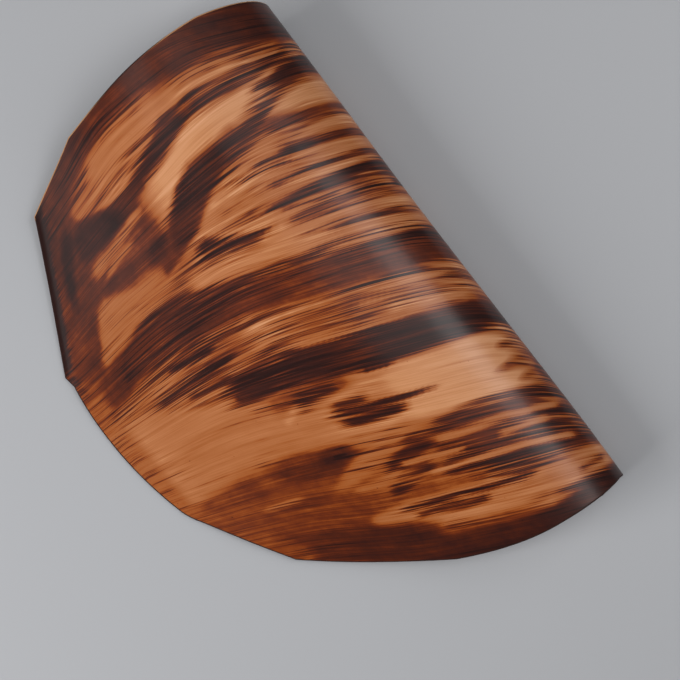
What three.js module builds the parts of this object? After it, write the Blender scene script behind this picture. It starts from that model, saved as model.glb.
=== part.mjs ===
// Shell cordovan leather: one whole hide piece, folded once in a soft bend and lying flat.
// Millimetres, +Z up. X runs across the fold, with the bend on the +X side. Y runs along the fold.
// The lower layer lies flat at Z = 0, and the upper layer, the flap, slopes down over it.
import * as THREE from 'three';

// Leather
const THICKNESS = 1.8;
const DYE_COLOUR = 0x6b3a1e;
const POLISH_ROUGHNESS = 0.35;

// Where the flap and the bend meet the flat sheet. "Across" is the flat distance from the line on
// the lower layer that lies right under the nose of the bend. It grows round the bend to the flap.
const LIFT_ACROSS = -34;
const FLAP_ACROSS = 84;

// Cut outline of the flat sheet, in four edges. Each row is a corner. The stretch that follows it is
// an arc that bulges outwards by "bulge" at its middle, cut into "steps".
const WIDE_END = [
  { along: 120, across: -205, bulge: 6, steps: 3 },
  { along: 176, across: -115, bulge: 5, steps: 3 },
  { along: 203, across: LIFT_ACROSS, bulge: 2, steps: 11 },
  { along: 220, across: 28, bulge: 1, steps: 11 },
  { along: 235, across: FLAP_ACROSS, bulge: 4, steps: 9 },
  { along: 229, across: 215, bulge: 0, steps: 5 },
  { along: 202, across: 271.5 },
];
const NARROW_END = [
  { along: -118, across: -178, bulge: 6, steps: 4 },
  { along: -172, across: -100, bulge: 3, steps: 2 },
  { along: -200, across: LIFT_ACROSS, bulge: 0, steps: 3 },
  { along: -203, across: -17, bulge: 0, steps: 4 },
  { along: -198.5, across: 3, bulge: 0, steps: 5 },
  { along: -195, across: 27, bulge: 1, steps: 10 },
  { along: -193.5, across: FLAP_ACROSS, bulge: 3.5, steps: 6 },
  { along: -174, across: 166, bulge: 5.5, steps: 8 },
  { along: -106, across: 259 },
];
const LOWER_EDGE = [
  { along: 120, across: -205, bulge: 7, steps: 9 },
  { along: 30, across: -243, bulge: 8, steps: 10 },
  { along: -60, across: -228, bulge: 5, steps: 7 },
  { along: -118, across: -178 },
];
const FLAP_EDGE = [
  { along: 202, across: 271.5, bulge: 0, steps: 8 },
  { along: 97, across: 318.5, bulge: 0, steps: 1 },
  { along: 88, across: 316, bulge: 5.5, steps: 10 },
  { along: -30, across: 307.5, bulge: 1, steps: 2 },
  { along: -55, across: 293.5, bulge: 3, steps: 5 },
  { along: -106, across: 259 },
];

// Sections across the fold. The lengths run along the leather from the line where it leaves the
// surface: to the nose, the crest, the steepest place on the flap and the place where it flattens.
// "steepest" and "landed" are the flap's downward slopes at the last two, in degrees, and "place" is
// how far the nose stands out of a straight line.
const SECTIONS = [
  { along: -210, place: 1.5, nose: 41, crest: 96, steep: 145, land: 215, steepest: 29, landed: 18 },
  { along: -150, place: 2, nose: 43, crest: 101, steep: 165, land: 245, steepest: 26, landed: 14 },
  { along: -70, place: 1, nose: 45, crest: 110, steep: 195, land: 320, steepest: 21.8, landed: 9 },
  { along: 60, place: -0.5, nose: 48, crest: 120, steep: 215, land: 350, steepest: 22.8, landed: 8 },
  { along: 160, place: 0, nose: 50, crest: 130, steep: 216, land: 340, steepest: 27, landed: 10 },
  { along: 240, place: 0, nose: 51, crest: 136, steep: 205, land: 290, steepest: 32, landed: 15 },
];
// Shape of the bend: the leather's angle part of the way to the nose and on from there to the crest
const HEEL = { share: 0.45, angle: 35 };
const SHOULDER = { share: 0.35, angle: 140 };
const BROW = { share: 0.68, angle: 165 };
const NOSE_ANGLE = 90;
const CREST_ANGLE = 180;
const LEAD_IN = 20;
const LEAD_OUT = 120;
const PROFILE_STEP = 0.5;
const PROFILE_LENGTH = 420;

// Monotone cubic curve through the points (xs, ys), read at x
function smoothCurve(xs, ys) {
  const last = xs.length - 1;
  const width = xs.slice(1).map((x, i) => x - xs[i]);
  const rise = width.map((w, i) => (ys[i + 1] - ys[i]) / w);
  const slope = ys.map((_, i) => {
    if (i === 0) return rise[0];
    if (i === last) return rise[last - 1];
    if (rise[i - 1] * rise[i] <= 0) return 0;
    const before = 2 * width[i] + width[i - 1];
    const after = width[i] + 2 * width[i - 1];
    return (before + after) / (before / rise[i - 1] + after / rise[i]);
  });
  return (x) => {
    let i = 0;
    while (i < last - 1 && x > xs[i + 1]) i += 1;
    const t = THREE.MathUtils.clamp((x - xs[i]) / width[i], 0, 1);
    const t2 = t * t;
    const t3 = t2 * t;
    return (
      (2 * t3 - 3 * t2 + 1) * ys[i] + (t3 - 2 * t2 + t) * width[i] * slope[i] +
      (3 * t2 - 2 * t3) * ys[i + 1] + (t3 - t2) * width[i] * slope[i + 1]
    );
  };
}

const sectionColumn = Object.fromEntries(
  ['place', 'nose', 'crest', 'steep', 'land', 'steepest', 'landed'].map((name) => [
    name,
    smoothCurve(SECTIONS.map((row) => row.along), SECTIONS.map((row) => row[name])),
  ]),
);

// One section across the fold: points every PROFILE_STEP of leather, from its tangent angle
function foldProfile(along) {
  const { place, nose, crest, steep, land, steepest, landed } = Object.fromEntries(
    Object.entries(sectionColumn).map(([name, curve]) => [name, curve(along)]),
  );
  const round = crest - nose;
  const angle = smoothCurve(
    [
      -LEAD_IN, 0, HEEL.share * nose, nose, nose + SHOULDER.share * round,
      nose + BROW.share * round, crest, steep, land, land + LEAD_OUT,
    ],
    [
      0, 0, HEEL.angle, NOSE_ANGLE, SHOULDER.angle,
      BROW.angle, CREST_ANGLE, CREST_ANGLE + steepest, CREST_ANGLE + landed, CREST_ANGLE + landed,
    ],
  );
  const points = [{ x: 0, z: 0, angle: 0 }];
  for (let s = PROFILE_STEP; s <= PROFILE_LENGTH; s += PROFILE_STEP) {
    const middle = THREE.MathUtils.degToRad(angle(s - PROFILE_STEP / 2));
    const before = points[points.length - 1];
    points.push({
      x: before.x + Math.cos(middle) * PROFILE_STEP,
      z: before.z + Math.sin(middle) * PROFILE_STEP,
      angle: THREE.MathUtils.degToRad(angle(s)),
    });
  }
  return { points, start: place - Math.max(...points.map((point) => point.x)) };
}

// A point of the flat sheet, folded: the outer face and the inner face, THICKNESS inside it
function foldPoint(along, across) {
  const { points, start } = foldProfile(along);
  const length = across - start;
  let x = across;
  let z = 0;
  let angle = 0;
  if (length > 0) {
    const steps = length / PROFILE_STEP;
    const index = Math.min(Math.floor(steps), points.length - 2);
    const part = steps - index;
    x = THREE.MathUtils.lerp(points[index].x, points[index + 1].x, part) + start;
    z = THREE.MathUtils.lerp(points[index].z, points[index + 1].z, part);
    angle = THREE.MathUtils.lerp(points[index].angle, points[index + 1].angle, part);
  }
  return {
    outer: [x, along, z],
    inner: [x - THICKNESS * Math.sin(angle), along, z + THICKNESS * Math.cos(angle)],
  };
}

// Points along one cut edge, an arc for each row. side is 1 or -1, for which way outwards is.
function cutEdge(rows, side) {
  const points = [];
  rows.slice(0, -1).forEach((row, i) => {
    const next = rows[i + 1];
    const start = new THREE.Vector2(row.along, row.across);
    const chord = new THREE.Vector2(next.along, next.across).sub(start);
    const outwards = new THREE.Vector2(chord.y, -chord.x).normalize().multiplyScalar(side * row.bulge);
    for (let step = 0; step < row.steps; step += 1) {
      const t = step / row.steps;
      points.push(start.clone().addScaledVector(chord, t).addScaledVector(outwards, 4 * t * (1 - t)));
    }
  });
  const end = rows[rows.length - 1];
  points.push(new THREE.Vector2(end.along, end.across));
  return points;
}

const wideEnd = cutEdge(WIDE_END, 1);
const narrowEnd = cutEdge(NARROW_END, -1);
const lowerEdge = cutEdge(LOWER_EDGE, -1);
const flapEdge = cutEdge(FLAP_EDGE, 1);
const columns = lowerEdge.length - 1;
const rowsAcross = wideEnd.length - 1;
const liftRow = wideEnd.findIndex((point) => point.y === LIFT_ACROSS);
const flapRow = wideEnd.findIndex((point) => point.y === FLAP_ACROSS);

// A grid point of the flat sheet. Row 0 is the lower edge, the last row is the flap's edge, and the
// rows of the bend are straight from end to end. The two outer strips blend from their curved edge
// to the straight row beside the bend.
function sheetPoint(column, row) {
  const t = column / columns;
  const straight = wideEnd[row].clone().lerp(narrowEnd[row], t);
  const isLower = row < liftRow;
  if (!isLower && row <= flapRow) return straight;
  const edge = isLower ? lowerEdge : flapEdge;
  const share = isLower ? 1 - row / liftRow : (row - flapRow) / (rowsAcross - flapRow);
  const bow = edge[column].clone().sub(edge[0].clone().lerp(edge[columns], t));
  return straight.addScaledVector(bow, share);
}

function buildSheet() {
  const outer = [];
  const inner = [];
  for (let row = 0; row <= rowsAcross; row += 1) {
    for (let column = 0; column <= columns; column += 1) {
      const point = sheetPoint(column, row);
      const folded = foldPoint(point.x, point.y);
      outer.push(folded.outer);
      inner.push(folded.inner);
    }
  }
  const innerStart = outer.length;
  const at = (column, row) => row * (columns + 1) + column;
  const triangles = [];
  const quad = (a, b, c, d) => triangles.push(a, b, c, a, c, d);
  for (let row = 0; row < rowsAcross; row += 1) {
    for (let column = 0; column < columns; column += 1) {
      const corners = [at(column, row), at(column, row + 1), at(column + 1, row + 1), at(column + 1, row)];
      quad(...corners);
      quad(...corners.reverse().map((index) => index + innerStart));
    }
  }
  const rim = (a, b) => quad(a, b, b + innerStart, a + innerStart);
  for (let column = 0; column < columns; column += 1) {
    rim(at(column, 0), at(column + 1, 0));
    rim(at(column + 1, rowsAcross), at(column, rowsAcross));
  }
  for (let row = 0; row < rowsAcross; row += 1) {
    rim(at(0, row + 1), at(0, row));
    rim(at(columns, row), at(columns, row + 1));
  }
  const geometry = new THREE.BufferGeometry();
  geometry.setAttribute('position', new THREE.Float32BufferAttribute([...outer, ...inner].flat(), 3));
  geometry.setIndex(triangles);
  geometry.computeBoundingBox();
  const middle = geometry.boundingBox.getCenter(new THREE.Vector3());
  geometry.translate(-middle.x, -middle.y, 0);
  geometry.computeVertexNormals();
  return geometry;
}

const leather = new THREE.MeshStandardMaterial({
  color: DYE_COLOUR,
  roughness: POLISH_ROUGHNESS,
  metalness: 0,
  name: 'dyed_cordovan',
});
const sheet = new THREE.Mesh(buildSheet(), leather);
sheet.name = 'cordovan_leather';

const foldedLeather = new THREE.Group();
foldedLeather.name = 'folded_leather';
foldedLeather.add(sheet);

export default foldedLeather;
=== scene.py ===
"""Folded shell cordovan leather, dyed in a marbled brown over natural tan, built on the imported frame.

The leather is one sheet: a flat cut outline, folded once in a soft bend, with its glazed face out.
That face is called the grain side here, as on other leather, though a shell has no true grain.
Shapes are worked out in millimetres on the flat sheet. "along" runs along the fold, and "across" is the
flat distance from the line on the lower layer that lies right under the nose of the bend: it is
negative on the lower layer and grows round the bend to the flap.
"""

import math

import bpy
import numpy as np
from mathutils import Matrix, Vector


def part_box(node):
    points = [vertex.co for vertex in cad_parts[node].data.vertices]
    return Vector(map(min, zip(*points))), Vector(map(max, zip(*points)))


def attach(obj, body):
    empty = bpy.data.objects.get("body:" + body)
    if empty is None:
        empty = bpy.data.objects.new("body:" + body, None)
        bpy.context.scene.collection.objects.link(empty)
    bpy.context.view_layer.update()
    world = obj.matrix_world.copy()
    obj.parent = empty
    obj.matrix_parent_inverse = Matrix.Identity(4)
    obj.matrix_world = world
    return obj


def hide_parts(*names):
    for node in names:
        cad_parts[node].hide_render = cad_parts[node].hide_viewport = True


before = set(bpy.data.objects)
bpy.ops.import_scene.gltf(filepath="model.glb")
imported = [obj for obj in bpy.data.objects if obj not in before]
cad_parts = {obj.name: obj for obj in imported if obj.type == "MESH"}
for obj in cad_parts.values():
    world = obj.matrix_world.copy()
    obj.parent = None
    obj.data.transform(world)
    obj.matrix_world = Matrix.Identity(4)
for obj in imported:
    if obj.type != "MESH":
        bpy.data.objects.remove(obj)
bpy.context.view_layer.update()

NODE = "cordovan_leather"
MM = 0.001

# Leather, mm. LIFT_ACROSS and FLAP_ACROSS part the lower layer,
# the bend and the flap.
THICKNESS = 1.8
LIFT_ACROSS = -34
FLAP_ACROSS = 84

# Cut outline of the flat sheet, in four edges. Each row is a corner: along, across, how far the arc
# that follows it bulges outwards at its middle, and how many steps it is cut into. The corners that show
# were read off the photo and turned into places on the sheet by a separate script. Some stand as it gave
# them, rounded, and the rest were then moved a few mm by hand. The lower layer's are hidden, but for the
# tip at the narrow end, and are a guess.
WIDE_END = (
    (120, -205, 6, 6),
    (176, -115, 5, 6),
    (203, LIFT_ACROSS, 2, 22),
    (220, 28, 1, 22),
    (235, FLAP_ACROSS, 4, 36),
    (229, 215, 0, 20),
    (202, 271.5, 0, 0),
)
NARROW_END = (
    (-118, -178, 6, 8),
    (-172, -100, 3, 4),
    (-200, LIFT_ACROSS, 0, 6),
    (-203, -17, 0, 8),
    (-198.5, 3, 0, 10),
    (-195, 27, 1, 20),
    (-193.5, FLAP_ACROSS, 3.5, 24),
    (-174, 166, 3, 32),
    (-107, 261.5, 0, 0),
)
LOWER_EDGE = (
    (120, -205, 7, 117),
    (30, -243, 8, 130),
    (-60, -228, 5, 91),
    (-118, -178, 0, 0),
)
FLAP_EDGE = (
    (202, 271.5, 0, 104),
    (97, 318.5, 0, 13),
    (88, 316, 5.5, 130),
    (-30, 307, 0.6, 16),
    (-44, 300, 0, 75),
    (-107, 261.5, 0, 0),
)

# Sections across the fold. The lengths run along the leather from the line where it leaves the
# surface: to the nose, the crest, the steepest place on the flap and the place where it flattens.
# The last two numbers are the flap's downward slopes at those places, in degrees, and "place" is
# how far the nose stands out of a straight line.
# Columns: along, place, nose, crest, steep, land, steepest, landed
SECTIONS = (
    (-210, 1.5, 41, 96, 145, 215, 29, 18),
    (-150, 2, 43, 101, 165, 245, 26, 14),
    (-70, 1, 45, 110, 195, 320, 21.8, 9),
    (60, -0.5, 48, 120, 215, 350, 22.8, 8),
    (160, 0, 50, 130, 216, 340, 27, 10),
    (240, 0, 51, 136, 205, 290, 32, 15),
)
# Places between those: a share of the length and the angle there, degrees. HEEL lies before the nose,
# and SHOULDER and BROW lie between the nose and the crest.
HEEL = (0.45, 35)
SHOULDER = (0.35, 140)
BROW = (0.68, 165)
NOSE_ANGLE = 90
CREST_ANGLE = 180
# Straight lengths before and after the section, mm
LEAD_IN = 20
LEAD_OUT = 120
# Tables of the fold, mm: step and length of a section, step between sections, and how far past the
# outer ones they go. A place is read inside a table's last cell, TABLE_END short of its length.
PROFILE_STEP = 0.5
PROFILE_LENGTH = 420
STATION_STEP = 2
STATION_PAST = 10
TABLE_END = 1.001

# Cut edge, mm: how far in the sheet's grid starts, the loops from there out to the edge, and the
# rounded rim. A row of the rim is its distance in from the outline and its depth as a share of the
# thickness. The outline's normals are evened out NORMAL_SMOOTHING times.
GRID_INSET = 7
GRAIN_LOOPS = (5.2, 3.6, 2.3, 1.3)
FLESH_LOOPS = (0.5, 2.4)
RIM = ((1.0, 0.0), (0.55, 0.06), (0.25, 0.22), (0.05, 0.45), (0.0, 0.72), (0.12, 0.92))
NORMAL_SMOOTHING = 24


def smooth_curve(xs, ys, at):
    """A monotone cubic through the points (xs, ys) of each row, read at each value of at."""
    width = np.diff(xs, axis=1)
    rise = np.diff(ys, axis=1) / width
    before = 2 * width[:, 1:] + width[:, :-1]
    after = width[:, 1:] + 2 * width[:, :-1]
    same_way = rise[:, :-1] * rise[:, 1:] > 0
    safe = np.where(rise == 0, 1, rise)
    mean = (before + after) / (before / safe[:, :-1] + after / safe[:, 1:])
    slope = np.concatenate([rise[:, :1], np.where(same_way, mean, 0), rise[:, -1:]], axis=1)
    index = (at[:, :, None] > xs[:, None, 1:-1]).sum(axis=2)

    def read(values, shift=0):
        return np.take_along_axis(values, index + shift, axis=1)

    step = read(width)
    t = np.clip((at - read(xs)) / step, 0, 1)
    return (
        (2 * t**3 - 3 * t**2 + 1) * read(ys)
        + (t**3 - 2 * t**2 + t) * step * read(slope)
        + (3 * t**2 - 2 * t**3) * read(ys, 1)
        + (t**3 - t**2) * step * read(slope, 1)
    )


def fold_sections():
    """The section at every station along the fold: x, z and tangent angle each PROFILE_STEP.

    The angle is a monotone cubic of the length along the leather, and the point is its running sum.
    """
    table = np.array(SECTIONS, float)
    stations = np.arange(table[0, 0] - STATION_PAST, table[-1, 0] + STATION_PAST, STATION_STEP)
    held = np.clip(stations, table[0, 0], table[-1, 0])[None]
    place, nose, crest, steep, land, steepest, landed = (
        smooth_curve(table[None, :, 0], table[None, :, column], held)[0] for column in range(1, 8)
    )
    rounding = crest - nose
    same = np.ones_like(nose)
    lengths = np.stack(
        [
            -LEAD_IN * same, 0 * same, HEEL[0] * nose, nose, nose + SHOULDER[0] * rounding,
            nose + BROW[0] * rounding, crest, steep, land, land + LEAD_OUT,
        ],
        axis=1,
    )
    angles = np.stack(
        [
            0 * same, 0 * same, HEEL[1] * same, NOSE_ANGLE * same, SHOULDER[1] * same,
            BROW[1] * same, CREST_ANGLE * same, CREST_ANGLE + steepest,
            CREST_ANGLE + landed, CREST_ANGLE + landed,
        ],
        axis=1,
    )
    at = np.arange(0, PROFILE_LENGTH + PROFILE_STEP, PROFILE_STEP)
    middles = np.broadcast_to(at[1:] - PROFILE_STEP / 2, (len(stations), len(at) - 1))
    middle = np.radians(smooth_curve(lengths, angles, middles))
    angle = np.radians(smooth_curve(lengths, angles, np.broadcast_to(at, (len(stations), len(at)))))
    zero = np.zeros((len(stations), 1))
    x = np.concatenate([zero, np.cumsum(np.cos(middle) * PROFILE_STEP, axis=1)], axis=1)
    z = np.concatenate([zero, np.cumsum(np.sin(middle) * PROFILE_STEP, axis=1)], axis=1)
    return stations, x, z, angle, place - x.max(axis=1)


STATIONS, PROFILE_X, PROFILE_Z, PROFILE_ANGLE, PROFILE_START = fold_sections()


def fold(along, across, depth):
    """A point of the flat sheet, folded, at a depth in from the grain side.

    The section's tables are read between stations and between steps, and the point is moved by
    depth square to the section.
    """
    station = np.clip((along - STATIONS[0]) / STATION_STEP, 0, len(STATIONS) - TABLE_END)
    i = station.astype(int)
    f = station - i
    start = PROFILE_START[i] * (1 - f) + PROFILE_START[i + 1] * f
    length = np.clip((across - start) / PROFILE_STEP, 0, PROFILE_X.shape[1] - TABLE_END)
    j = length.astype(int)
    g = length - j

    def read(table):
        low = table[i, j] * (1 - g) + table[i, j + 1] * g
        high = table[i + 1, j] * (1 - g) + table[i + 1, j + 1] * g
        return low * (1 - f) + high * f

    x = np.where(across > start, read(PROFILE_X) + start, across)
    z = read(PROFILE_Z)
    angle = read(PROFILE_ANGLE)
    return np.stack([x - depth * np.sin(angle), along, z + depth * np.cos(angle)], axis=-1)


def cut_edge(rows, side):
    """Points along one cut edge: each row's chord plus bulge x 4t(1 - t), square to the chord."""
    pieces = []
    for (along, across, bulge, steps), end in zip(rows[:-1], rows[1:]):
        chord = np.array([end[0] - along, end[1] - across], float)
        outwards = np.array([chord[1], -chord[0]]) / np.hypot(*chord) * side * bulge
        t = np.arange(steps)[:, None] / steps
        pieces.append(np.array([along, across]) + t * chord + 4 * t * (1 - t) * outwards)
    pieces.append(np.array([rows[-1][:2]], float))
    return np.concatenate(pieces)


def outline_ring():
    """The closed outline of the flat sheet and its outward normals, smoothed along the edge.

    The ring runs along the lower edge, the narrow end, the flap's edge and the wide end.
    """
    lower = cut_edge(LOWER_EDGE, -1)
    narrow = cut_edge(NARROW_END, -1)
    flap = cut_edge(FLAP_EDGE, 1)
    wide = cut_edge(WIDE_END, 1)
    ring = np.concatenate([lower[:-1], narrow[:-1], flap[::-1][:-1], wide[::-1][:-1]])
    tangent = np.roll(ring, -1, axis=0) - np.roll(ring, 1, axis=0)
    tangent /= np.linalg.norm(tangent, axis=1, keepdims=True)
    normal = np.stack([-tangent[:, 1], tangent[:, 0]], axis=1)
    outwards = np.sign(np.sum(normal * (ring - ring.mean(axis=0))))
    normal *= outwards
    for _ in range(NORMAL_SMOOTHING):
        normal = (np.roll(normal, 1, axis=0) + 2 * normal + np.roll(normal, -1, axis=0)) / 4
    normal /= np.linalg.norm(normal, axis=1, keepdims=True)
    return ring, normal, len(lower) - 1, len(wide) - 1


RING, NORMAL, COLUMNS, ROWS = outline_ring()


def ring_edges(ring):
    """The four edges of a ring: lower and flap by column, wide and narrow by row."""
    lower = ring[: COLUMNS + 1]
    narrow = ring[COLUMNS : COLUMNS + ROWS + 1]
    flap = ring[COLUMNS + ROWS : 2 * COLUMNS + ROWS + 1][::-1]
    wide = np.concatenate([ring[2 * COLUMNS + ROWS :], ring[:1]])[::-1]
    return lower, narrow, flap, wide


def sheet_grid():
    """Flat places of the grid, as rows x columns x (along, across), inside the cut edge.

    Each row is straight from the wide end to the narrow end. Outside the bend, the bow of the
    lower edge or the flap's edge is added, growing from nothing at the bend to all of it.
    """
    lower, narrow, flap, wide = ring_edges(RING - GRID_INSET * NORMAL)
    t = np.linspace(0, 1, COLUMNS + 1)[None, :, None]
    grid = wide[:, None] * (1 - t) + narrow[:, None] * t
    lift_row = sum(row[3] for row in WIDE_END[:2])
    flap_row = sum(row[3] for row in WIDE_END[:4])
    row = np.arange(ROWS + 1)
    for edge, share in (
        (lower, np.clip(1 - row / lift_row, 0, 1)),
        (flap, np.clip((row - flap_row) / (ROWS - flap_row), 0, 1)),
    ):
        bow = edge - (edge[:1] * (1 - t[0]) + edge[-1:] * t[0])
        grid = grid + share[:, None, None] * bow[None]
    return grid


# Where the flap's edge curls down: along from and to, how far in it starts and how far it drops, mm
CURL = (97, 205, 8, 2.0)
# The curl begins CURL_BEFORE ahead of its first place, ends CURL_PAST beyond its last, and fades over
# CURL_FADE. Only the flap curls, beyond CURL_ACROSS.
CURL_BEFORE = 12
CURL_PAST = 6
CURL_FADE = 14
CURL_ACROSS = 200
# Long, low waves of the sheet: height in mm, the mm along and across to one radian, and the start in
# radians. They begin UNEVEN_FROM across and grow over UNEVEN_FADE.
WAVES = ((0.28, 31, 47, 0.8), (0.22, 19, -63, 2.1), (0.16, 13, 29, 0))
UNEVEN_FROM = 30
UNEVEN_FADE = 60


def curl_drop(flat, inset):
    """How far a place on the flap sinks, mm: the square of its share of the way to the edge."""
    along, across = flat[..., 0], flat[..., 1]
    start, stop, reach, drop = CURL
    there = ease((along - start + CURL_BEFORE) / CURL_FADE) * ease((stop + CURL_PAST - along) / CURL_FADE)
    there = there * (across > CURL_ACROSS)
    return drop * there * np.clip(1 - inset / reach, 0, 1) ** 2


def ease(value):
    """Smooth step from 0 to 1."""
    t = np.clip(value, 0, 1)
    return t * t * (3 - 2 * t)


def unevenness(flat):
    """How far the sheet lies off its even fold, mm: a few long, low waves, none on the surface."""
    along, across = flat[..., 0], flat[..., 1]
    waves = sum(
        height * np.sin(along / length + across / depth + start) for height, length, depth, start in WAVES
    )
    return waves * ease((across - UNEVEN_FROM) / UNEVEN_FADE)


def fold_flat(flat, inset, share):
    """Folded places of flat ones, at this share of the thickness in from the grain."""
    depth = share * THICKNESS + curl_drop(flat, inset) + unevenness(flat)
    return fold(flat[..., 0], flat[..., 1], depth)


# Flow of the dye: each row is a line that the streaks follow, as its along at each across. The rows
# began with streaks followed by eye in the photo, and were then corrected by hand against directions
# that a separate script measured there. On the lower layer the lines run on from the bend: FLOW_UNDER is
# across and the shift along. The lines are read to FLOW_PAST beyond the last across.
FLOW_ACROSS = (0, 60, 120, 180, 240, 310)
FLOW_LINES = (
    (232, 250, 265, 275, 270, 255),
    (190, 210, 228, 230, 214, 190),
    (170, 184, 195, 195, 184, 163),
    (150, 164, 170, 164, 157, 140),
    (124, 141, 150, 149, 143, 128),
    (96, 114, 130, 131, 129, 117),
    (52, 73, 90, 103, 105, 97),
    (24, 49, 70, 88, 93, 86),
    (-26, 6, 30, 48, 56, 54),
    (-48, -15, 10, 29, 38, 42),
    (-92, -57, -32, -8, 12, 22),
    (-116, -78, -52, -24, -2, 12),
    (-154, -118, -92, -68, -46, -24),
    (-178, -153, -130, -108, -78, -50),
    (-218, -193, -170, -146, -110, -76),
    (-262, -238, -215, -192, -156, -120),
)
FLOW_UNDER = ((-240, -42), (-120, -32))
FLOW_PAST = 31


def flow_line(flat):
    """Which flow line a place lies on, mm, as the line's mean place along the fold.

    Every line is a monotone cubic of across, and the place is read linearly between its two lines.
    """
    along, across = flat[:, 0], flat[:, 1]
    table = np.array(FLOW_LINES, float)[::-1]
    under = np.array(FLOW_UNDER, float)
    at = np.concatenate([under[:, 0], FLOW_ACROSS])
    lines = np.concatenate([table[:, :1] + under[:, 1], table], axis=1)
    spots = np.arange(at[0], at[-1] + FLOW_PAST, 1.0)
    every = np.broadcast_to(spots, (len(lines), len(spots)))
    read = smooth_curve(np.broadcast_to(at, lines.shape), lines, every)
    value = table.mean(axis=1)
    place = np.clip(across - spots[0], 0, len(spots) - TABLE_END)
    low = place.astype(int)
    part = place - low
    here = read[:, low] * (1 - part) + read[:, low + 1] * part
    index = np.clip((along > here).sum(axis=0) - 1, 0, len(lines) - 2)
    below = np.take_along_axis(here, index[None], axis=0)[0]
    above = np.take_along_axis(here, index[None] + 1, axis=0)[0]
    t = (along - below) / (above - below)
    return value[index] * (1 - t) + value[index + 1] * t
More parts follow.
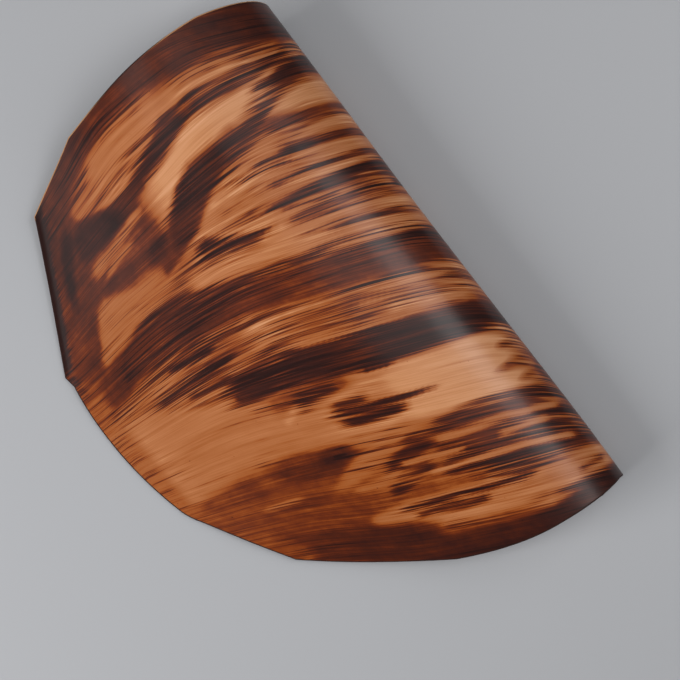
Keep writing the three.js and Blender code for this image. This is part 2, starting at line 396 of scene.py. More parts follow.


# Dye, and in a few marked rows painted light. The places in DYE_STROKES_AND_PAINTED_LIGHT,
# BARE_LINES_AND_HIGHLIGHT, HAIR_LINES, WASHES_AND_PAINTED_LIGHT and DARK_MARKS were read off the photo and
# turned into places on the sheet by a separate script, then rounded and in part moved by eye. A row is how
# dark (0 bare tan to 1 darkest), how long its ends fade over in mm, and its middle line as places (across,
# along, half width), from the bend to the flap's edge.
DYE_STROKES_AND_PAINTED_LIGHT = (
    # Bare and light fields
    (0.08, 20, ((70, 192, 3), (96, 198, 7), (118, 203, 8), (147, 207, 10), (181, 206, 11), (228, 200, 10))),
    (0.26, 16, ((186, 150, 12), (228, 148, 12), (250, 144, 9), (280, 139, 8))),
    (-0.12, 14, ((54, 176, 2), (84, 174, 5), (97, 170, 8), (120, 168, 11), (138, 169, 10), (152, 166, 9),
                 (165, 163, 10), (181, 156, 12), (202, 151, 12))),
    (0.13, 14, ((-60, 50, 40), (30, 80, 54), (100, 100, 40), (150, 104, 28), (190, 105, 12), (218, 108, 6))),
    (0.42, 16, ((128, 76, 8), (160, 88, 12), (196, 98, 14), (222, 100, 10))),
    (-0.05, 12, ((-40, 130, 10), (18, 144, 11), (36, 147, 10), (53, 150, 8), (70, 151, 6), (88, 151, 2))),
    (0.32, 16, ((186, 138, 22), (210, 134, 30), (236, 136, 32), (262, 136, 30))),
    (0.45, 16, ((-60, -60, 10), (30, -22, 10), (80, -2, 14), (129, 18, 12), (160, 34, 12), (191, 42, 13),
                (212, 46, 13), (243, 54, 10), (273, 60, 8), (290, 62, 6))),
    (0.10, 24, ((22, -82, 18), (46, -81, 24), (59, -77, 26), (87, -66, 25), (118, -57, 27), (150, -46, 27),
                (190, -38, 18), (216, -25, 19), (240, -12, 25), (262, -4, 32), (285, 2, 38), (318, 5, 36))),
    (0.22, 12, ((90, -130, 6), (124, -122, 20), (150, -112, 34), (175, -107, 42), (188, -103, 47),
                (216, -92, 49), (257, -75, 40), (310, -60, 28))),
    # Painted light, in part: this row makes the band paler over the bend and just past the crest
    (-0.30, 24, ((34, -82, 18), (48, -81, 22), (59, -77, 24), (87, -66, 22), (134, -52, 20))),
    # Dark and half dark bands
    (0.66, 14, ((36, 181, 3), (70, 183, 5), (90, 185, 6), (109, 188, 6), (132, 191, 7))),
    (0.78, 12, ((124, 189, 4), (134, 188, 6), (145, 187, 8), (161, 181, 8), (178, 176, 6), (200, 170, 4),
                (222, 165, 8), (240, 163, 12), (252, 161, 11), (264, 160, 6))),
    (0.44, 16, ((-40, 110, 5), (20, 124, 5), (53, 133, 6), (76, 139, 5), (96, 143, 5))),
    (0.70, 12, ((-20, 160, 8), (14, 164, 8), (30, 166, 9), (48, 167, 8), (62, 165, 6), (77, 160, 5),
                (88, 155, 5), (99, 151, 7), (118, 149, 9), (133, 148, 12))),
    (0.88, 12, ((10, 166, 5), (30, 167, 6), (50, 168, 4), (66, 170, 3), (88, 174, 1.5))),
    (0.78, 16, ((90, 152, 2), (108, 152, 4), (125, 151, 9), (149, 146, 13), (165, 138, 14), (178, 129, 12),
                (200, 118, 6))),
    (0.80, 8, ((188, 133, 3), (203, 128, 6), (218, 124, 3))),
    (0.52, 10, ((-60, -20, 14), (17, 6, 16), (47, 18, 17), (78, 29, 17), (101, 36, 18), (129, 47, 17),
                (150, 54, 16), (180, 66, 15), (205, 74, 16), (224, 78, 18), (245, 77, 16), (266, 76, 12))),
    (0.88, 8, ((226, 84, 8), (240, 84, 13), (252, 82, 14), (264, 79, 12), (276, 74, 8), (286, 69, 4))),
    (0.68, 40, ((-60, -8, 7), (17, 14, 7), (47, 28, 7), (78, 40, 6), (101, 47, 7), (170, 72, 6))),
    (0.70, 14, ((150, 66, 6), (190, 76, 12), (215, 80, 15), (235, 80, 15), (250, 78, 13), (282, 74, 8))),
    (0.86, 24, ((-60, -100, 12), (33, -46, 12), (60, -38, 12), (85, -29, 14), (115, -18, 15), (142, -7, 14),
                (165, 2, 14), (190, 8, 13), (212, 12, 11), (236, 15, 8))),
    (0.60, 14, ((-60, -165, 22), (-20, -152, 25), (20, -141, 26), (45, -135, 27), (80, -122, 30),
                (118, -110, 25), (134, -106, 16))),
    (0.42, 16, ((-10, -74, 5), (30, -73, 4), (56, -68, 2))),
    (0.46, 20, ((-10, -92, 6), (34, -88, 5), (70, -80, 2))),
    (0.42, 16, ((-10, -108, 5), (30, -100, 4), (58, -96, 2))),
    (0.62, 8, ((-40, -122, 16), (20, -103, 14), (36, -106, 8))),
    (0.66, 14, ((20, -119, 6), (48, -110, 8), (70, -101, 8), (95, -93, 7), (124, -90, 6))),
    # Dark lines
    (0.46, 16, ((-20, 97, 2), (30, 110, 2.5), (54, 118, 3), (97, 131, 3))),
    (0.52, 24, ((10, 95, 1.6), (59, 111, 1.8), (100, 122, 1.6), (150, 135, 1.5))),
    (0.50, 18, ((6, 85, 1.5), (50, 97, 1.8), (94, 110, 1.5))),
    (0.64, 16, ((-40, 60, 8), (12, 74, 9), (30, 80, 8), (45, 85, 5), (75, 90, 4), (128, 103, 2))),
    (0.66, 10, ((48, 82, 2), (70, 87, 4), (98, 93, 4), (116, 97, 3))),
    (0.66, 12, ((4, 56, 3), (52, 71, 4), (67, 75, 4.5), (85, 80, 4), (119, 86, 2.5))),
    (0.84, 14, ((118, 84, 2), (155, 98, 5), (171, 105, 8), (187, 107, 6))),
    (0.64, 16, ((16, 36, 3), (61, 53, 4), (102, 68, 3))),
    (0.80, 14, ((202, 35, 2), (240, 38, 2), (280, 40, 2))),
    (0.80, 10, ((210, 25, 2), (255, 32, 2))),
    (0.90, 8, ((210, 49, 2), (254, 55, 1.8))),
    (0.80, 20, ((90, -69, 1.5), (182, -37, 2))),
    (0.55, 12, ((138, -42, 4), (175, -35, 4))),
    (0.88, 16, ((118, -65, 3), (145, -58, 5), (177, -46, 4))),
    (0.85, 12, ((128, -86, 2.5), (161, -74, 3))),
    (0.95, 6, ((178, -67, 4), (196, -61, 4))),
    (0.90, 8, ((110, -36, 1.5), (138, -25, 2.5))),
    (0.70, 12, ((148, -24, 5), (194, -15, 8))),
    (0.64, 14, ((40, -128, 3), (57, -118, 4), (90, -110, 3), (127, -100, 3))),
    (0.68, 16, ((36, -142, 3), (64, -127, 4), (98, -120, 4), (133, -102, 4))),
    (0.80, 16, ((33, -156, 3), (70, -142, 4), (104, -131, 5), (142, -117, 4))),
    (0.68, 14, ((118, -90, 5), (146, -93, 8), (172, -97, 7))),
    (0.66, 14, ((126, -106, 5), (150, -108, 6), (180, -108, 4))),
)
# Bare lines, laid over these strokes and over the washes. The last row is a painted highlight.
BARE_LINES_AND_HIGHLIGHT = (
    (0.26, 8, ((208, 110, 7), (236, 108, 9), (252, 108, 14), (262, 107, 17), (272, 103, 15), (282, 92, 6),
               (292, 84, 3))),
    (0.24, 14, ((192, 157, 2), (210, 155, 3), (226, 151, 4.5), (242, 147, 5), (264, 139, 4))),
    (0.30, 12, ((214, 144, 2), (236, 140, 2.5), (256, 133, 2))),
    (0.12, 10, ((26, 190, 2), (54, 187, 2.5), (78, 190, 2.5))),
    (0.00, 16, ((-6, 106, 2), (36, 122, 2), (78, 130, 2))),
    (0.04, 16, ((4, 92, 2), (44, 106, 2), (96, 122, 2))),
    (0.04, 12, ((20, 86, 1), (66, 100, 2), (110, 112, 2))),
    (0.12, 8, ((28, 65, 3), (52, 78, 3), (78, 83, 3))),
    (0.10, 10, ((14, 49, 3), (45, 58, 3.5), (78, 68, 3.5), (114, 78, 4), (140, 88, 3))),
    (0.08, 16, ((0, 24, 4), (65, 48, 4), (98, 59, 5), (130, 73, 7), (164, 84, 6), (206, 96, 6))),
    (0.20, 16, ((30, -29, 1), (57, -20, 1.5), (100, -8, 1.5), (172, 18, 2))),
    (0.08, 12, ((34, -7, 2), (64, 1, 3.5), (84, 6, 4), (114, 14, 3))),
    (0.12, 10, ((31, -128, 2.5), (84, -108, 2.5), (128, -94, 2.5))),
    (0.12, 8, ((46, -130, 3), (88, -117, 2))),
    (0.16, 8, ((106, -113, 2), (158, -94, 2.5))),
    (0.12, 10, ((36, -152, 3), (74, -133, 2.5), (145, -110, 2))),
    (0.10, 10, ((-20, -186, 5), (23, -174, 7), (49, -169, 8), (80, -164, 11), (125, -148, 14),
                (172, -128, 8), (204, -117, 3))),
    (0.15, 10, ((22, -178, 4), (44, -172, 5), (60, -164, 4), (82, -156, 3))),
    (0.26, 26, ((118, -74, 5), (160, -78, 7), (180, -80, 7), (214, -86, 3))),
    (0.32, 12, ((150, -98, 2), (175, -98, 3), (200, -90, 2))),
    (0.26, 12, ((224, -76, 2), (262, -64, 2))),
    # Painted highlight: a small pale spot for the glint on a shallow dent
    (0.02, 5, ((188, -20, 3), (206, -25, 3))),
)
# Dark lines in the bare field nearest the narrow end
HAIR_LINES = (
    (0.75, 12, ((75, -156, 1.2), (180, -120, 1.5))),
    (0.85, 10, ((111, -151, 2.5), (140, -142, 3), (176, -130, 1.5))),
    (0.60, 6, ((28, -177, 2), (56, -170, 2.5))),
)
# Thin half dark lines over the bend: how many, the rows of the flow that they lie between, and each
# one's tone and the fade of its ends, mm
CREST_LINES = 9
CREST_ROWS = (4.9, 8.5)
CREST_TONE = 0.5
CREST_FADE = 16
# Depth of the streaks where no stroke lies; the least half width that a stroke is laid with, mm, which
# is about two columns of the mesh; and the softness of its sides, a share of that width up to MOST_SOFT
DYE_BASE = 0.36
LEAST_HALF = 2.2
SOFT_SHARE = 0.8
MOST_SOFT = 5


def crest_lines():
    """Strokes for the thin lines over the bend, evenly spaced between the rows of the flow."""
    strokes = []
    for level in np.linspace(*CREST_ROWS, CREST_LINES):
        row = int(level)
        part = level - row
        places = [
            (across, (1 - part) * above + part * below, LEAST_HALF)
            for across, above, below in zip(FLOW_ACROSS[:3], FLOW_LINES[row], FLOW_LINES[row + 1])
        ]
        strokes.append((CREST_TONE, CREST_FADE, places))
    return tuple(strokes)


def laid_on(flat, depth, strokes):
    """The depth of colour once each stroke in turn is laid over what is there.

    A stroke's cover falls off smoothly about its half width and over the fade at its two ends.
    """
    along, across = flat[..., 0], flat[..., 1]
    for tone, fade, places in strokes:
        at, middle, half = np.array(places, float).T
        away = np.abs(along - np.interp(across, at, middle))
        reach = np.maximum(np.interp(across, at, half), LEAST_HALF)
        soft = np.minimum(SOFT_SHARE * reach, MOST_SOFT)
        cover = 1 - ease((away - reach + soft) / (2 * soft))
        cover = cover * ease((across - at[0]) / fade) * ease((at[-1] - across) / fade)
        depth = depth + (tone - depth) * cover
    return depth


# Washes: smooth stains under the streaks, found in the same way. Two rows also lay in painted light: the
# bend is left paler than the flap, in part the leather's own paler tan and in part painted light standing
# for the stronger light on the bend's right side.
WASHES_AND_PAINTED_LIGHT = (
    # Painted light, in part: this row turns the flap duller from across 40 on and leaves the bend pale
    (-0.04, 60, ((40, 60, 240), (420, 60, 240))),
    (0.20, 20, ((118, 203, 8), (147, 207, 12), (181, 206, 16), (228, 200, 20), (250, 190, 20))),
    (-0.26, 14, ((70, 176, 5), (97, 171, 9), (125, 170, 12), (152, 168, 9), (180, 158, 8))),
    # Painted shade, in part: a duller flap past the crest, towards the narrow end, against the paler bend
    (0.20, 50, ((60, -84, 60), (150, -40, 60), (320, 20, 90))),
    (-0.10, 30, ((24, -82, 18), (48, -81, 24), (59, -77, 26), (87, -66, 24), (140, -50, 18), (190, -38, 10))),
    (0.40, 14, ((-20, -106, 22), (14, -96, 24), (36, -88, 18))),
    (0.62, 24, ((178, 140, 22), (204, 136, 28), (240, 138, 40), (275, 136, 60))),
    (0.67, 20, ((236, 156, 52), (256, 134, 66), (290, 122, 66), (330, 115, 60))),
    (0.52, 12, ((90, -130, 6), (124, -122, 20), (150, -112, 34), (175, -107, 42), (188, -103, 47),
                (216, -92, 49), (257, -75, 40), (312, -60, 28))),
    (0.64, 12, ((168, -72, 6), (190, -68, 9), (214, -58, 10), (240, -48, 6))),
    (0.48, 16, ((-60, -165, 22), (-20, -152, 25), (20, -138, 22), (60, -124, 22), (104, -112, 20),
                (140, -108, 18), (180, -106, 14))),
    (0.50, 12, ((140, -24, 7), (180, -13, 10), (212, -8, 6))),
    (0.63, 20, ((-60, -20, 14), (17, 6, 15), (78, 29, 15), (129, 47, 15), (180, 66, 14), (224, 78, 17),
                (276, 76, 12))),
    (0.74, 20, ((-60, -100, 8), (33, -45, 12), (85, -29, 14), (142, -7, 12), (200, 10, 10))),
    (0.42, 16, ((96, -94, 6), (130, -94, 14), (160, -92, 20), (192, -94, 14))),
    (0.38, 20, ((20, -140, 22), (60, -124, 26), (104, -108, 20), (140, -100, 12))),
    (0.58, 20, ((-40, 113, 4), (60, 138, 5), (110, 155, 8), (149, 145, 12), (165, 137, 14), (205, 118, 8))),
    (0.58, 20, ((60, 180, 3), (120, 189, 4), (145, 187, 8), (178, 176, 5), (200, 170, 4), (240, 164, 14),
                (264, 162, 8))),
    (0.70, 12, ((118, 150, 4), (130, 150, 9), (149, 146, 13), (165, 138, 14), (178, 129, 12), (202, 117, 6))),
    (0.70, 10, ((128, 188, 4), (145, 187, 8), (161, 181, 7), (180, 175, 5))),
    (0.68, 12, ((10, 166, 6), (30, 166, 7), (52, 167, 5), (66, 168, 3))),
    (0.72, 14, ((176, 172, 5), (196, 168, 5), (215, 163, 7), (236, 162, 10))),
)
# Darkest marks of the wash, laid last of all
DARK_MARKS = (
    (0.92, 10, ((208, 164, 5), (226, 164, 9), (240, 163, 12), (252, 162, 10), (264, 160, 6))),
    (0.95, 5, ((254, 178, 5), (262, 170, 7), (270, 160, 8), (276, 148, 8), (286, 130, 5))),
    (0.80, 8, ((262, 190, 8), (284, 172, 8), (292, 150, 6), (298, 132, 4))),
    (0.80, 8, ((194, 130, 5), (207, 127, 6), (220, 124, 5))),
    (0.84, 8, ((186, 1, 4), (214, 8, 5), (228, 12, 4))),
    (0.80, 6, ((176, -66, 4), (190, -64, 6), (204, -60, 4))),
)
# Depth of the wash where none is laid. It is the pale tan left over the nose and the right side of the
# bend, in part painted light.
WASH_BASE = -0.3
# Darker dye along the two ends, and a darker strip along the flap's edge that is near black where the
# edge curls down: how far in each reaches, mm, at places across (ends) or along (flap).
# The ends' widths were worked out from border points found in the same way as the strokes' places.
WIDE_REACH = ((0, 40, 57, 73, 96, 118, 144, 181, 217, 250), (34, 36, 36, 34, 30, 25, 17, 14, 20, 24))
NARROW_REACH = ((0, 36, 49, 85, 125, 173, 240), (12, 12, 14, 15, 18, 26, 22))
FLAP_REACH = ((-110, -60, 60, 92, 100, 205), (8, 6, 6, 6, 8, 9))
FLAP_WASH_REACH = ((-110, -60, 60, 100, 130, 205), (14, 10, 12, 22, 24, 24))
# Tones of those borders, in the streaks and in the wash, at places across or along
WIDE_TONE = 0.60
NARROW_TONES = ((60, 110, 180), (0.75, 0.60, 0.35))
FLAP_TONES = ((-60, 60, 92, 104), (0.22, 0.30, 0.70, 1.05))
WIDE_WASH_TONES = ((40, 100), (0.80, 0.70))
NARROW_WASH_TONES = ((60, 110, 200, 240), (0.84, 0.82, 0.76, 0.64))
FLAP_WASH_TONES = ((-60, -20, 50, 80, 110, 130), (0.48, 0.34, 0.34, 0.54, 0.64, 0.66))
# Shares of a border's reach: where it starts to fade, and over how much
BORDER_SOLID = 0.6
BORDER_FADE = 0.8


def border_depth(flat, depth, gaps, flap_reach, tones):
    """The depth of colour, deepened to these tones towards the wide, narrow and flap edges."""
    along, across = flat[..., 0], flat[..., 1]
    reaches = (
        np.interp(across, *WIDE_REACH),
        np.interp(across, *NARROW_REACH),
        np.interp(along, *flap_reach),
    )
    for gap, reach, tone in zip(gaps, reaches, tones):
        cover = 1 - ease((gap / reach - BORDER_SOLID) / BORDER_FADE)
        depth = depth + (tone - depth) * cover
    return depth


def stains(flat, gaps):
    """How dark the streaks and the wash under them are, 0 bare to 1 darkest, at each flat place."""
    along, across = flat[..., 0], flat[..., 1]
    bare = np.zeros(len(flat))
    dye_tones = WIDE_TONE, np.interp(across, *NARROW_TONES), np.interp(along, *FLAP_TONES)
    wash_tones = (
        np.interp(across, *WIDE_WASH_TONES),
        np.interp(across, *NARROW_WASH_TONES),
        np.interp(along, *FLAP_WASH_TONES),
    )
    strokes = DYE_STROKES_AND_PAINTED_LIGHT + BARE_LINES_AND_HIGHLIGHT + HAIR_LINES + crest_lines()
    dye = laid_on(flat, bare + DYE_BASE, strokes)
    dye = border_depth(flat, dye, gaps, FLAP_REACH, dye_tones)
    wash = laid_on(flat, bare + WASH_BASE, WASHES_AND_PAINTED_LIGHT + BARE_LINES_AND_HIGHLIGHT)
    wash = border_depth(flat, wash, gaps, FLAP_WASH_REACH, wash_tones)
    return dye, laid_on(flat, wash, DARK_MARKS)


# The mesh's materials, by number
GRAIN, FLESH, CUT = 0, 1, 2


def build_sheet():
    """The leather's mesh: grain grid, loops out to the cut edge, rounded rim, and the flesh side.

    Returns the flat place and the folded place of each vertex, mm, the quads, and which material
    each quad has.
    """
    grid = sheet_grid()
    rows, columns = grid.shape[:2]
    count = rows * columns
    ring_count = len(RING)
    index = np.arange(count).reshape(rows, columns)
    ring_index = np.concatenate(
        [index[0, :-1], index[:-1, -1], index[-1, :0:-1], index[:0:-1, 0]]
    )
    flat_parts = [grid.reshape(-1, 2)]
    inset_parts = [np.full(count, float(GRID_INSET))]
    share_parts = [np.zeros(count)]
    loops = [(inset, 0.0) for inset in GRAIN_LOOPS] + list(RIM) + [(inset, 1.0) for inset in FLESH_LOOPS]
    for inset, share in loops:
        flat_parts.append(RING - inset * NORMAL)
        inset_parts.append(np.full(ring_count, inset))
        share_parts.append(np.full(ring_count, share))
    flat_parts.append(grid.reshape(-1, 2))
    inset_parts.append(np.full(count, float(GRID_INSET)))
    share_parts.append(np.ones(count))
    flat = np.concatenate(flat_parts)
    inset = np.concatenate(inset_parts)
    places = fold_flat(flat, inset, np.concatenate(share_parts))

    grain = np.stack([index[:-1, :-1], index[1:, :-1], index[1:, 1:], index[:-1, 1:]], axis=-1)
    grain = grain.reshape(-1, 4)
    flesh_start = count + len(loops) * ring_count
    flesh = grain[:, ::-1] + flesh_start
    levels = [ring_index]
    levels += [count + k * ring_count + np.arange(ring_count) for k in range(len(loops))]
    levels.append(ring_index + flesh_start)
    bands = [
        np.stack([low, np.roll(low, -1), np.roll(high, -1), high], axis=-1)
        for low, high in zip(levels[:-1], levels[1:])
    ]
    quads = np.concatenate([grain, *bands, flesh])
    grain_bands = len(GRAIN_LOOPS) + 1
    rim_bands = len(RIM)
    material = np.concatenate(
        [np.full(len(grain), GRAIN)]
        + [
            np.full(ring_count, GRAIN if k < grain_bands else CUT if k < grain_bands + rim_bands else FLESH)
            for k in range(len(bands))
        ]
        + [np.full(len(flesh), FLESH)]
    )
    return flat, places, quads, material


def edge_gaps(flat):
    """Distance to the wide end, the narrow end and the flap's edge, mm, each to its nearest chord."""
    gaps = []
    for rows in (WIDE_END, NARROW_END, FLAP_EDGE):
        corners = np.array([row[:2] for row in rows], float)
        nearest = np.full(len(flat), np.inf)
        for start, end in zip(corners[:-1], corners[1:]):
            chord = end - start
            t = np.clip((flat - start) @ chord / (chord @ chord), 0, 1)
            nearest = np.minimum(nearest, np.linalg.norm(flat - start - t[:, None] * chord, axis=1))
        gaps.append(nearest)
    return gaps


def linear(colour):
    """An sRGB hex colour as linear red, green, blue and alpha."""
    parts = [((colour >> shift) & 255) / 255 for shift in (16, 8, 0)]
    return [p / 12.92 if p <= 0.04045 else ((p + 0.055) / 1.055) ** 2.4 for p in parts] + [1.0]


def add(tree, kind, inputs=None, output=0, stops=None, **settings):
    """Adds a node and returns one of its outputs.

    Inputs are named or numbered: a socket is linked, any other value is set. Stops are the places and
    hex colours of a colour ramp.
    """
    node = tree.nodes.new(kind)
    for name, value in settings.items():
        setattr(node, name, value)
    for name, value in (inputs or {}).items():
        if isinstance(value, bpy.types.NodeSocket):
            tree.links.new(value, node.inputs[name])
        else:
            node.inputs[name].default_value = value
    for index, (place, colour) in enumerate(stops or ()):
        if index >= len(node.color_ramp.elements):
            node.color_ramp.elements.new(place)
        node.color_ramp.elements[index].position = place
        node.color_ramp.elements[index].color = linear(colour)
    return node.outputs[output] if node.outputs else None


def new_material(name):
    """An empty node material and its tree."""
    material = bpy.data.materials.new(name)
    material.use_nodes = True
    material.node_tree.nodes.clear()
    return material, material.node_tree


def streaks(tree, flow, length, width, detail):
    """Noise about 0 in streaks this long and wide, mm, along the flow."""
    place = add(
        tree,
        "ShaderNodeMapping",
        {"Vector": flow, "Scale": (FLOW_UNIT / length, FLOW_UNIT / width, 1)},
    )
    noise = add(
        tree,
        "ShaderNodeTexNoise",
        {"Vector": place, "Scale": 1.0, "Detail": detail, "Roughness": 0.6},
        noise_dimensions="2D",
    )
    return add(tree, "ShaderNodeMath", {0: noise, 1: 0.5}, operation="SUBTRACT")


# One unit of the flow map, mm
FLOW_UNIT = 100
# Streaks of the dye: length and width in mm, detail and strength. Ones much under 1 mm wide wouldn't
# show in the render, at 0.72 mm to a pixel, so the finest here are drawn that coarse.
STREAKS = (
    (50, 1.0, 2.0, 1.3),
    (95, 3.6, 2.0, 1.3),
    (170, 17, 1.0, 0.5),
)
# Strength of the streaks where the dye is 0 or 1, and what dye x (1 - dye) adds to it, so that they are
# liveliest where it is half dark
STREAKS_LEAST = 0.45
STREAKS_MORE = 2.2
# Thin dark lines of dye: the noise's length and width, mm, what is cut off it, how fast they come in as
# the dye gets darker, and how dark they are
HAIR_LENGTH = 130
HAIR_WIDTH = 1.8
HAIR_CUT = 0.12
HAIR_GROWTH = 1.6
HAIR_DARK = 4.0
# Patches, mm, where the streaks are livelier or calmer, and by how much
PATCH_SIZE = 34
PATCH_STRENGTH = 2.4
# Blotches of the wash, mm across, and their strength
MOTTLE = ((8, 0.22), (26, 0.45))
# Specks that took more dye, one at most to a cell. A speck's radius is a random share of SPECK_SIZE, mm,
# less SPECK_CUT of a cell, so most cells stay empty and the largest radius is about 0.5 mm.
SPECK_SPACING = 9
SPECK_SIZE = 1.6
SPECK_CUT = 0.12
SPECK_DARK = 0.24
# How much the streaks stir the wash, and how softly the darker of the two takes over
WASH_STIR = 0.24
MEETING = 0.12
# Soft ripples of the glazed face: size and height, mm, and the fine unevenness on them: size, mm, and
# share of that height. The real unevenness is finer, and is drawn this coarse so that it shows.
RIPPLE_SIZE = 22
RIPPLE_HEIGHT = 0.12
GRAIN_SIZE = 1.1
GRAIN_SHARE = 0.06
# Colours by depth of dye, from bare tan through orange-brown and red-brown to dark brown
DYE_COLOURS = (
    (-0.30, 0xDDA27A),
    (-0.10, 0xCB8C5E),
    (0.06, 0xB87447),
    (0.28, 0xA65F30),
    (0.37, 0xA25624),
    (0.46, 0x883E13),
    (0.56, 0x692A10),
    (0.68, 0x4E1F0F),
    (0.82, 0x3A1811),
    (1.00, 0x26110E),
)
PALEST = DYE_COLOURS[0][0]


def glazed_grain():
    """The glazed face of waxed shell cordovan: smooth, dense and softly shiny.

    The eye sees natural tan under orange-brown, red-brown and dark brown dye. The dye runs in streaks,
    livelier in some patches and where it is half dark, with thin dark lines among them. The wash
    under them is smooth, with soft blotches and a few darker specks. Part of the paler tan over the
    bend and one small pale spot are painted light. The gloss is slightly rippled.
    """
    material, tree = new_material("glazed_marbled_cordovan")
    flow = add(tree, "ShaderNodeUVMap", uv_map="flow")
    dye = add(tree, "ShaderNodeAttribute", output="Fac", attribute_name="dye")
    wash = add(tree, "ShaderNodeAttribute", output="Fac", attribute_name="wash")
    wave = 0.0
    for length, width, detail, strength in STREAKS:
        noise = streaks(tree, flow, length, width, detail)
        wave = add(tree, "ShaderNodeMath", {0: noise, 1: strength, 2: wave}, operation="MULTIPLY_ADD")
    rest = add(tree, "ShaderNodeMath", {0: 1.0, 1: dye}, operation="SUBTRACT")
    middle = add(tree, "ShaderNodeMath", {0: dye, 1: rest}, operation="MULTIPLY")
    lively = {0: middle, 1: STREAKS_MORE, 2: STREAKS_LEAST}
    room = add(tree, "ShaderNodeMath", lively, operation="MULTIPLY_ADD")
    patch = streaks(tree, flow, PATCH_SIZE, PATCH_SIZE, 2.0)
    patch = add(tree, "ShaderNodeMath", {0: patch, 1: PATCH_STRENGTH, 2: 1.0}, operation="MULTIPLY_ADD")
    room = add(tree, "ShaderNodeMath", {0: room, 1: patch}, operation="MULTIPLY")
    lines = add(tree, "ShaderNodeMath", {0: wave, 1: room, 2: dye}, operation="MULTIPLY_ADD")
    hair = streaks(tree, flow, HAIR_LENGTH, HAIR_WIDTH, 1.0)
    hair = add(tree, "ShaderNodeMath", {0: hair, 1: -HAIR_CUT}, operation="ADD")
    hair = add(tree, "ShaderNodeMath", {0: hair, 1: 0.0}, operation="MAXIMUM")
    much = add(tree, "ShaderNodeMath", {0: dye, 1: HAIR_GROWTH}, operation="MULTIPLY", use_clamp=True)
    hair = add(tree, "ShaderNodeMath", {0: hair, 1: much}, operation="MULTIPLY")
    lines = add(tree, "ShaderNodeMath", {0: hair, 1: HAIR_DARK, 2: lines}, operation="MULTIPLY_ADD")
    cells = {"Vector": flow, "Scale": FLOW_UNIT / SPECK_SPACING}
    away = add(tree, "ShaderNodeTexVoronoi", cells, voronoi_dimensions="2D")
    chance = add(tree, "ShaderNodeTexVoronoi", cells, output="Color", voronoi_dimensions="2D")
    random_part = {0: chance, 1: SPECK_SIZE / SPECK_SPACING, 2: -SPECK_CUT}
    radius = add(tree, "ShaderNodeMath", random_part, operation="MULTIPLY_ADD")
    speck = add(tree, "ShaderNodeMath", {0: away, 1: radius}, operation="LESS_THAN")
    wash = add(tree, "ShaderNodeMath", {0: speck, 1: SPECK_DARK, 2: wash}, operation="MULTIPLY_ADD")
    for size, strength in MOTTLE:
        blotch = streaks(tree, flow, size, size, 4.0)
        uneven = add(tree, "ShaderNodeMath", {0: blotch, 1: strength, 2: 1.0}, operation="MULTIPLY_ADD")
        wash = add(tree, "ShaderNodeMath", {0: wash, 1: uneven}, operation="MULTIPLY")
    under = add(tree, "ShaderNodeMath", {0: wave, 1: WASH_STIR, 2: wash}, operation="MULTIPLY_ADD")
    depth = add(tree, "ShaderNodeMath", {0: lines, 1: under, 2: MEETING}, operation="SMOOTH_MAX")
    span = 1 - PALEST
    place = add(tree, "ShaderNodeMath", {0: depth, 1: 1 / span, 2: -PALEST / span}, operation="MULTIPLY_ADD")
    stops = [((at - PALEST) / span, colour) for at, colour in DYE_COLOURS]
    colour = add(tree, "ShaderNodeValToRGB", {"Fac": place}, stops=stops)
    ripple = streaks(tree, flow, RIPPLE_SIZE, RIPPLE_SIZE, 2.0)
    grain = streaks(tree, flow, GRAIN_SIZE, GRAIN_SIZE, 1.0)
    height = add(tree, "ShaderNodeMath", {0: grain, 1: GRAIN_SHARE, 2: ripple}, operation="MULTIPLY_ADD")
    relief = add(tree, "ShaderNodeBump", {"Height": height, "Strength": 1.0, "Distance": RIPPLE_HEIGHT * MM})
    shader = add(
        tree,
        "ShaderNodeBsdfPrincipled",
        {"Base Color": colour, "Roughness": 0.3, "IOR": 1.45, "Normal": relief},
    )
    add(tree, "ShaderNodeOutputMaterial", {"Surface": shader})
    return material


# Nap and fibres to a metre, so about 1.1 and 0.7 mm each. Real ones are finer, and are drawn this
# coarse so that they show.
NAP_SCALE = 900.0
FIBRE_SCALE = 1400.0
# Colours of the nap and of the cut's fibres, and of the cut edge where it is dyed
NAP_COLOURS = ((0.3, 0x8A5B38), (0.7, 0xA97A52))
FIBRE_COLOURS = ((0.3, 0xA8734A), (0.7, 0xCC9A6C))
DYED_CUT = 0x2E1812


def rough_flesh():
    """The flesh side of the shell, left brushed: matt, pale brown, with a short fibrous nap."""
    material, tree = new_material("brushed_flesh_side")
    place = add(tree, "ShaderNodeTexCoord", output="Object")
    nap = add(tree, "ShaderNodeTexNoise", {"Vector": place, "Scale": NAP_SCALE, "Detail": 3.0})
    colour = add(tree, "ShaderNodeValToRGB", {"Fac": nap}, stops=NAP_COLOURS)
    shader = add(tree, "ShaderNodeBsdfPrincipled", {"Base Color": colour, "Roughness": 0.85})
    add(tree, "ShaderNodeOutputMaterial", {"Surface": shader})
    return material


def raw_cut():
    """The cut edge of tanned leather: dyed dark, but for about half of the wide end.

    There the eye sees tan with fine fibres, wherever the edge bows out less than about 2 mm.
    """
    material, tree = new_material("raw_cut_edge")
    place = add(tree, "ShaderNodeTexCoord", output="Object")
    raw = add(tree, "ShaderNodeAttribute", output="Fac", attribute_name="raw")
    fibres = add(tree, "ShaderNodeTexNoise", {"Vector": place, "Scale": FIBRE_SCALE, "Detail": 2.0})
    natural = add(tree, "ShaderNodeValToRGB", {"Fac": fibres}, stops=FIBRE_COLOURS)
    colour = add(tree, "ShaderNodeMixRGB", {"Fac": raw, "Color1": linear(DYED_CUT), "Color2": natural})
    shader = add(tree, "ShaderNodeBsdfPrincipled", {"Base Color": colour, "Roughness": 0.7})
    add(tree, "ShaderNodeOutputMaterial", {"Surface": shader})
    return material


# The cut edge is pale within RAW_REACH of the straight lines between the wide end's corners, and gets
# dark over RAW_FADE, mm
RAW_REACH = 1.5
RAW_FADE = 1.5


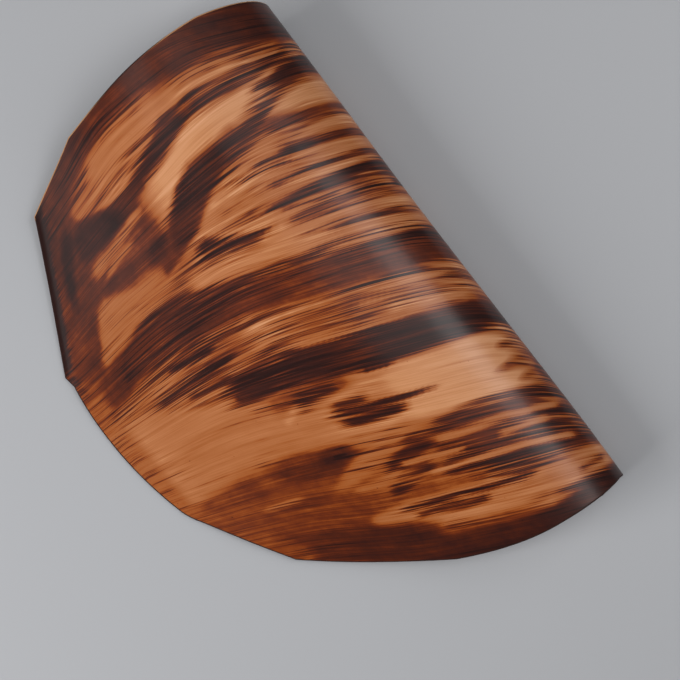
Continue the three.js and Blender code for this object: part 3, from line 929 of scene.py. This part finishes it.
def leather_object():
    """The folded leather as one closed mesh, with its flow map, dye and edge attributes."""
    flat, places, quads, material = build_sheet()
    low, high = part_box(NODE)
    own_low, own_high = places.min(axis=0), places.max(axis=0)
    shift = np.array([
        high.x / MM - own_high[0],
        (low.y + high.y) / MM / 2 - (own_low[1] + own_high[1]) / 2,
        0.0,
    ])
    places = (places + shift) * MM
    mesh = bpy.data.meshes.new("cordovan")
    mesh.from_pydata(places.tolist(), [], quads.tolist())
    mesh.polygons.foreach_set("material_index", material.astype(np.int32))
    mesh.shade_smooth()
    corners = np.empty(len(mesh.loops), np.int32)
    mesh.loops.foreach_get("vertex_index", corners)
    flow = np.stack([flat[:, 1], flow_line(flat)], axis=1)[corners] / FLOW_UNIT
    mesh.uv_layers.new(name="flow").uv.foreach_set("vector", flow.astype(np.float32).ravel())
    gaps = edge_gaps(flat)
    # The dye and wash attributes also carry painted light: the paler tan over the bend and a painted
    # highlight
    dye, wash = stains(flat, gaps)
    raw = 1 - ease((gaps[0] - RAW_REACH) / RAW_FADE)
    for name, values in (("dye", dye), ("wash", wash), ("raw", raw)):
        attribute = mesh.attributes.new(name, "FLOAT", "POINT")
        attribute.data.foreach_set("value", values.astype(np.float32))
    for finish in (glazed_grain(), rough_flesh(), raw_cut()):
        mesh.materials.append(finish)
    mesh.validate()
    leather = bpy.data.objects.new("leather", mesh)
    bpy.context.scene.collection.objects.link(leather)
    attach(leather, "root")
    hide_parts(NODE)


leather_object()

# Camera: straight above, metres, turned so that the fold runs from the top to the lower right of the
# picture, by FOLD_RUNS (right, down). The picture spans VIEW_WIDTH of the floor. The sensor is in mm.
CAMERA_PLACE = (0.0367, -0.0168, 1.25)
FOLD_RUNS = (0.602, 0.799)
CAMERA_TURN = -math.atan2(*FOLD_RUNS)
VIEW_WIDTH = 0.4896
SENSOR = 36
# Soft lights: where each shines from, its distance and size in metres, its watts, and whether the
# gloss mirrors it
LIGHTS = (
    ("key", (-0.84, 0.14, 0.52), 1.6, 1.0, 21, False),
    ("fill", (0.74, -0.10, 0.66), 1.7, 1.4, 8, False),
    ("overhead", (-0.10, 0.0, 1.0), 1.7, 0.9, 2.5, True),
    ("window", (-0.60, 0.36, 0.72), 1.7, 0.8, 1.9, True),
    ("side", (0.42, -0.15, 0.89), 1.6, 0.7, 5.5, True),
)
# Height that they aim at and half the floor's side, metres
LIGHT_AIM = 0.03
FLOOR_HALF = 4.0
FLOOR_COLOUR = 0xB4B5B8
SKY_COLOUR = 0xE6EAF0
SKY_STRENGTH = 0.10


def set_camera():
    """A camera straight above the leather, as in the photo."""
    data = bpy.data.cameras.new("camera")
    data.sensor_width = SENSOR
    data.lens = SENSOR * CAMERA_PLACE[2] / VIEW_WIDTH
    camera = bpy.data.objects.new("camera", data)
    camera.location = CAMERA_PLACE
    camera.rotation_euler = (0, 0, CAMERA_TURN)
    bpy.context.scene.collection.objects.link(camera)
    bpy.context.scene.camera = camera


def soft_light(name, toward, distance, size, power, mirrored):
    """A square soft light at this distance, in metres, that shines at the leather."""
    data = bpy.data.lights.new(name, "AREA")
    data.shape = "SQUARE"
    data.size = size
    data.energy = power
    light = bpy.data.objects.new(name, data)
    direction = np.array(toward, float) / np.linalg.norm(toward)
    light.location = direction * distance + np.array([0, 0, LIGHT_AIM])
    light.rotation_euler = (math.acos(direction[2]), 0, math.atan2(direction[1], direction[0]) + math.pi / 2)
    light.visible_glossy = mirrored
    bpy.context.scene.collection.objects.link(light)


def set_studio():
    """A plain pale floor, a faint even sky and the soft lights."""
    floor_mesh = bpy.data.meshes.new("floor")
    half = FLOOR_HALF
    floor_mesh.from_pydata(
        [(-half, -half, 0), (half, -half, 0), (half, half, 0), (-half, half, 0)], [], [(0, 1, 2, 3)]
    )
    floor = bpy.data.objects.new("floor", floor_mesh)
    material, tree = new_material("matt_pale_floor")
    shader = add(tree, "ShaderNodeBsdfPrincipled", {"Base Color": linear(FLOOR_COLOUR), "Roughness": 0.8})
    add(tree, "ShaderNodeOutputMaterial", {"Surface": shader})
    floor_mesh.materials.append(material)
    bpy.context.scene.collection.objects.link(floor)
    world = bpy.data.worlds.new("studio")
    world.use_nodes = True
    sky = world.node_tree.nodes["Background"].inputs
    sky["Color"].default_value = linear(SKY_COLOUR)
    sky["Strength"].default_value = SKY_STRENGTH
    bpy.context.scene.world = world
    for light in LIGHTS:
        soft_light(*light)
    bpy.context.scene.view_settings.view_transform = "Standard"


set_camera()
set_studio()
